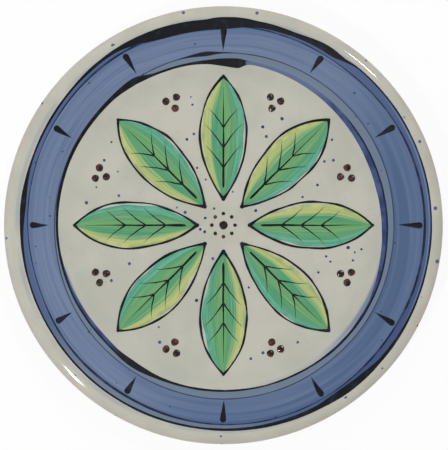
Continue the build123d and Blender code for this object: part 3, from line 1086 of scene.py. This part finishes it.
for number in range(LEAF_COUNT):
    label = number + 1
    bm = leaf_wash(number)
    piece = new_piece(f"brushed_leaf_{label}", bm, leaf_green, f"leaf_wash_{label}")
print("washes:", LEAF_COUNT, "of", len(piece.data.polygons), "faces")

# %% [markdown]
# ## Trailed outlines and veins
# The outlines were trailed from a nozzle in two strokes, from the base of the leaf to its tip. The slip
# bulges where the nozzle paused, at both ends, and thins where it moved fast. The veins are a midrib and
# three pairs of side veins, each pulled out to a point.

# %% Outlines
OUTLINE_WIDTH = 0.0013
OUTLINE_UNEVEN = 0.5
OUTLINE_SHAKE = 0.0007
OUTLINE_STEPS = 90
BASE_ROUND = 0.015
TIP_ROUND = 0.013
PAUSE = 0.0009
BASE_PAUSE = 0.035
TIP_PAUSE = 0.03
TIP_PAUSE_SHARE = 0.7
BASE_POOL = 0.0027
TIP_POOL = 0.0021
POOL_STEPS = 16
TRAIL_TALLEST = 0.0006
TRAIL_SHARE = 0.33


def trail_height(width):
    """Bead height for a bead width: the wet slip sank to a third of its width."""
    return min(TRAIL_TALLEST, TRAIL_SHARE * width)


def add_outline(bm, number, side):
    """One side of a leaf's outline."""

    def path(t):
        along = min(max(t, 0), 1)
        x = LEAF_BASE + LEAF_LENGTH * t
        shake = OUTLINE_SHAKE * noise.noise((5 * t, side, number + 0.3)) * math.sin(math.pi * along)
        start = LEAF_BASE + LEAF_LENGTH * along
        return spot_on_ray(x, side * leaf_half_width(start) + shake, leaf_angle(number))

    def width(t):
        at_base = math.exp(-((t / BASE_PAUSE) ** 2))
        at_tip = TIP_PAUSE_SHARE * math.exp(-(((t - 1) / TIP_PAUSE) ** 2))
        uneven = 1 + OUTLINE_UNEVEN * noise.noise((9 * t, side + 4, number + 0.6))
        ends = round_end(t, BASE_ROUND) * round_end(1 - t, TIP_ROUND)
        return (OUTLINE_WIDTH * uneven + PAUSE * (at_base + at_tip)) * ends

    add_stroke(bm, path, width, lambda t: trail_height(width(t)), OUTLINE_STEPS)


def add_pool(bm, x, size, angle):
    """A round pool of slip on a leaf's axis, where the nozzle paused."""

    def path(t):
        return spot_on_ray(x + size * (t - 0.5), 0, angle)

    def width(t):
        return size * round_end(t, 0.5) * round_end(1 - t, 0.5)

    add_stroke(bm, path, width, lambda t: trail_height(width(t)), POOL_STEPS)


for number in range(LEAF_COUNT):
    label = number + 1
    bm = bmesh.new()
    add_outline(bm, number, 1)
    add_outline(bm, number, -1)
    add_pool(bm, LEAF_BASE, BASE_POOL, leaf_angle(number))
    add_pool(bm, LEAF_TIP, TIP_POOL, leaf_angle(number))
    lay_on_front(bm)
    piece = new_piece(f"trailed_outline_{label}", bm, dark_slip, f"leaf_outline_{label}")
print("outlines:", LEAF_COUNT, "of", len(piece.data.polygons), "faces")

# %% Veins
MIDRIB_START = 0.024
MIDRIB_END = 0.0889
MIDRIB_WIDTH = 0.0017
VEIN_PAIRS = 3
VEIN_WIDTH = 0.0012
VEIN_ANGLE = math.radians(38)
VEIN_FORWARD = math.cos(VEIN_ANGLE)
VEIN_ASIDE = math.sin(VEIN_ANGLE)
VEIN_TO_EDGE = 0.0031
VEIN_PROBE = 0.0001
VEIN_ROUND = 0.05
VEIN_TAPER = 0.6
VEIN_BOW = 0.0006
VEIN_SHAKE = 0.00025
VEIN_UNEVEN = 0.25
VEIN_STAND = 0.2
VEIN_STEPS = 30
VEIN_SIDES = 10


def vein_length(root):
    """How far a side vein runs before it is too near the outline."""
    length = 0
    while length * VEIN_ASIDE < leaf_half_width(root + length * VEIN_FORWARD) - VEIN_TO_EDGE:
        length += VEIN_PROBE
    return length


def tapered(width, t):
    """Width of a stroke that lands round and leaves in a point."""
    return width * round_end(t, VEIN_ROUND) * max(NARROWEST, 1 - t) ** VEIN_TAPER


def add_vein(bm, start, end, width, bow, seed, angle):
    """One vein between two points of a leaf that lies on +X, turned to the leaf's place."""
    run = end - start
    aside = Vector((-run.y, run.x)).normalized()

    def path(t):
        bend = bow * math.sin(math.pi * t) + VEIN_SHAKE * noise.noise((4 * t, seed, 1.7))
        return Matrix.Rotation(angle, 2) @ (start + run * t + aside * bend)

    def wide(t):
        return tapered(width * (1 + VEIN_UNEVEN * noise.noise((6 * t, seed, 5.1))), t)

    add_stroke(bm, path, wide, lambda t: WASH_LIFT + VEIN_STAND * wide(t), VEIN_STEPS, VEIN_SIDES)


for number in range(LEAF_COUNT):
    label = number + 1
    angle = leaf_angle(number)
    bm = bmesh.new()
    rib = (Vector((MIDRIB_START, 0)), Vector((MIDRIB_END, 0)))
    add_vein(bm, *rib, MIDRIB_WIDTH, 0, number, angle)
    for pair in range(VEIN_PAIRS):
        root = MIDRIB_START + (MIDRIB_END - MIDRIB_START) * (pair + 1) / (VEIN_PAIRS + 2)
        reach = vein_length(root)
        for side in (1, -1):
            tip = Vector((root + reach * VEIN_FORWARD, side * reach * VEIN_ASIDE))
            seed = 10 * number + 2 * pair + side
            add_vein(bm, Vector((root, 0)), tip, VEIN_WIDTH, -side * VEIN_BOW, seed, angle)
    lay_on_front(bm)
    piece = new_piece(f"trailed_veins_{label}", bm, dark_slip, f"leaf_veins_{label}")
print("veins:", LEAF_COUNT, "of", len(piece.data.polygons), "faces")

# %% [markdown]
# ## Drops
# Berries, the dots in the middle and the flicked flecks are all drops that fell or were set on the glaze
# and melted into low domes. Their places are read from the solids, so each drop lies where its solid does.
# An icosphere makes a drop: its upper half becomes the dome and its lower half is pressed flat.


# %% Where the solid drops are
def drops_of(node):
    """Middle and width of each separate drop in a solid of the frame, in order of place."""
    bm = bmesh.new()
    bm.from_mesh(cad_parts[node].data)
    bmesh.ops.remove_doubles(bm, verts=bm.verts, dist=1e-6)
    drops = []
    seen = set()
    for start in bm.verts:
        if start in seen:
            continue
        seen.add(start)
        island = [start]
        for vert in island:
            linked = [edge.other_vert(vert) for edge in vert.link_edges]
            fresh = [other for other in linked if other not in seen]
            seen.update(fresh)
            island.extend(fresh)
        places = [vert.co.xy for vert in island]
        low = Vector((min(spot.x for spot in places), min(spot.y for spot in places)))
        high = Vector((max(spot.x for spot in places), max(spot.y for spot in places)))
        drops.append(((low.x + high.x) / 2, (low.y + high.y) / 2, (high - low).x))
    bm.free()
    return sorted(drops)


print("drops in the first group of berries:", len(drops_of("berries_1")))

# %% Finishes of the drops
BERRY_DARK = paint(40, 29, 31)
BERRY_WARM = paint(104, 62, 58)
BERRY_RELIEF = 0.00003
FLECK_DEEP = paint(46, 62, 102)
FLECK_WATERY = paint(92, 110, 146)
FLECK_RELIEF = 0.00002

berry_brown, place = start_finish("berry_brown")
warm = place.clouds(300, 3).rise(0.46, 0.66)
colour = (0.75 * warm).mix(BERRY_DARK, BERRY_WARM)
end_finish(place, colour, 0.08 + 0.06 * place.clouds(200), place.clouds(500), BERRY_RELIEF)

fleck_blue, place = start_finish("fleck_blue")
watery = place.clouds(380, 2).rise(0.42, 0.62)
colour = (0.7 * watery).mix(FLECK_DEEP, FLECK_WATERY)
end_finish(place, colour, 0.1 + 0.06 * watery, place.clouds(500), FLECK_RELIEF)
print("drop finishes:", berry_brown.name, fleck_blue.name)

# %% Set the drops
BERRY_LIFT = 0.00095
MIDDLE_LIFT = 0.0007
FLECK_LIFT = 0.0003
DROP_SHARE = 0.93
DROP_UNEVEN = 0.14
SEEDS_PER_METRE = 1000


def set_drops(name, node, finish, slot, lift, fineness):
    """Makes a dome for each drop of a solid."""
    bm = bmesh.new()
    drops = drops_of(node)
    for x, y, wide in drops:
        before = len(bm.verts)
        bmesh.ops.create_icosphere(bm, subdivisions=fineness, radius=1)
        bm.verts.ensure_lookup_table()
        for vert in bm.verts[before:]:
            around = math.atan2(vert.co.y, vert.co.x)
            run = DROP_SHARE + DROP_UNEVEN * wander(around, SEEDS_PER_METRE * (x + y), 0.9)
            up = vert.co.z
            height = up * (lift if up > 0 else SINK)
            vert.co = (x + vert.co.x * run * wide / 2, y + vert.co.y * run * wide / 2, height)
    lay_on_front(bm)
    new_piece(name, bm, finish, node)
    return len(drops)


berries = 0
for number in range(LEAF_COUNT):
    group = number + 1
    names = (f"berry_drops_{group}", f"berries_{group}")
    berries += set_drops(*names, berry_brown, "brown_slip", BERRY_LIFT, 3)
middle = set_drops("middle_drops", "centre_dots", berry_brown, "brown_slip", MIDDLE_LIFT, 3)
flecks = set_drops("flicked_drops", "blue_flecks", fleck_blue, "fleck_slip", FLECK_LIFT, 2)
print("drops set:", berries, "berries,", middle, "in the middle,", flecks, "flecks")

# %% [markdown]
# ## The studio
# The plate lies on white. It is lit by a soft room that is dimmer overhead, a wide window beyond the top of
# the picture that the glaze does not mirror, and two small lamps. One lamp stands high to the upper right
# and one nearer to the lower left, and each puts a bright arc on the rolled lip.
# The room and the lamps together give a surface about the colour it is written in. The floor shows white
# to the camera, keeps a faint shadow, and is clear from below, so that the foot can be seen.

# %% Room and floor
WALL_LIGHT = 0.66
CEILING_LIGHT = 0.14
FLOOR_WHITE = 0.92
FLOOR_SIZE = 3.0
FLOOR_GAP = 0.0001
WHITE = paint(255, 255, 255)
WARM_WHITE = paint(255, 253, 250)
FLOOR_PALE = paint(240, 240, 240)

world = bpy.data.worlds.new("soft_room")
world.use_nodes = True
world.node_tree.nodes.clear()
bpy.context.scene.world = world
desk = Shade(world.node_tree)
seen = desk.node("ShaderNodeLightPath", output="Is Camera Ray")
aim = desk.node("ShaderNodeTexCoord", output="Generated")
glow = WALL_LIGHT + (CEILING_LIGHT - WALL_LIGHT) * aim.parts()[2].rise(0, 1)
soft = desk.node("ShaderNodeBackground", {}, {"Color": WARM_WHITE, "Strength": glow})
white = desk.node("ShaderNodeBackground", {}, {"Color": WHITE, "Strength": 1})
sky = desk.node("ShaderNodeMixShader", {}, {0: seen, 1: soft, 2: white})
desk.node("ShaderNodeOutputWorld", {}, {"Surface": sky})

floor_finish, place = start_finish("white_floor")
seen = place.node("ShaderNodeLightPath", output="Is Camera Ray")
mirrored = place.node("ShaderNodeLightPath", output="Is Glossy Ray")
matt = place.node("ShaderNodeBsdfDiffuse", {}, {"Color": FLOOR_PALE})
bright = place.node("ShaderNodeEmission", {}, {"Color": WHITE, "Strength": 1})
above = place.node("ShaderNodeMixShader", {}, {0: FLOOR_WHITE * (seen + mirrored), 1: matt, 2: bright})
under = place.node("ShaderNodeNewGeometry", output="Backfacing")
clear = place.node("ShaderNodeBsdfTransparent")
surface = place.node("ShaderNodeMixShader", {}, {0: under, 1: above, 2: clear})
place.node("ShaderNodeOutputMaterial", {}, {"Surface": surface})

bm = bmesh.new()
bmesh.ops.create_grid(bm, x_segments=1, y_segments=1, size=FLOOR_SIZE)
bmesh.ops.translate(bm, verts=bm.verts, vec=(0, 0, -FLOOR_GAP))
floor = new_object("floor", bm, floor_finish)
floor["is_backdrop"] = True
print("floor:", 2 * FLOOR_SIZE, "m wide")

# %% Lamps
LAMPS = {
    "upper_right": {"bearing": 48.6, "out": 0.9, "height": 1.6, "size": (0.16, 0.05), "power": 6.5},
    "lower_left": {"bearing": 225.5, "out": 0.57, "height": 0.95, "size": (0.045, 0.035), "power": 5.2},
    "window": {"bearing": 92, "out": 0.7, "height": 0.7, "size": (0.6, 0.5), "power": 2.7},
}
MIRRORED = {"upper_right", "lower_left"}

for name, setting in LAMPS.items():
    lamp = bpy.data.lights.new(name, "AREA")
    lamp.shape = "ELLIPSE"
    lamp.size, lamp.size_y = setting["size"]
    lamp.energy = setting["power"]
    stand = bpy.data.objects.new(name, lamp)
    flat = spot_on_ray(setting["out"], 0, math.radians(setting["bearing"]))
    stand.location = (flat.x, flat.y, setting["height"])
    stand.rotation_euler = (-stand.location).to_track_quat("-Z", "Y").to_euler()
    stand.visible_glossy = name in MIRRORED
    bpy.context.scene.collection.objects.link(stand)
print("lamps:", list(LAMPS))

# %% [markdown]
# ## The camera
# The picture is taken from straight above with a long lens. Its distance follows from how many pixels wide
# the plate is in the picture, measured at the height of the lip's edge.

# %% Camera
PICTURE = Vector((448, 450))
PLATE_IN_PICTURE = Vector((223.4, 225.2))
PLATE_RADIUS_PIXELS = 219.4
PIXELS_PER_METRE = PLATE_RADIUS_PIXELS / PLATE_RADIUS
LENS = 100
SENSOR = 36

camera_data = bpy.data.cameras.new("camera")
camera_data.lens = LENS
camera_data.sensor_width = SENSOR
camera = bpy.data.objects.new("camera", camera_data)
distance = PICTURE.y / PIXELS_PER_METRE * LENS / SENSOR
offset = (PICTURE / 2 - PLATE_IN_PICTURE) / PIXELS_PER_METRE
camera.location = (offset.x, -offset.y, nose_centre.y + distance)
bpy.context.scene.collection.objects.link(camera)
bpy.context.scene.camera = camera
bpy.context.scene.view_settings.view_transform = "Standard"
print("camera is", round(distance, 3), "m above the lip")

# %% [markdown]
# ## Sizes and the end
# The dressed plate has to stay in the box of its solids, so both boxes are printed side by side.

# %% Print the boxes
dressed_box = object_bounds()
boxes = {"cad": [list(corner) for corner in cad_box], "visual": [list(corner) for corner in dressed_box]}
for name, corners in boxes.items():
    print(name, [[round(1000 * value, 2) for value in corner] for corner in corners])
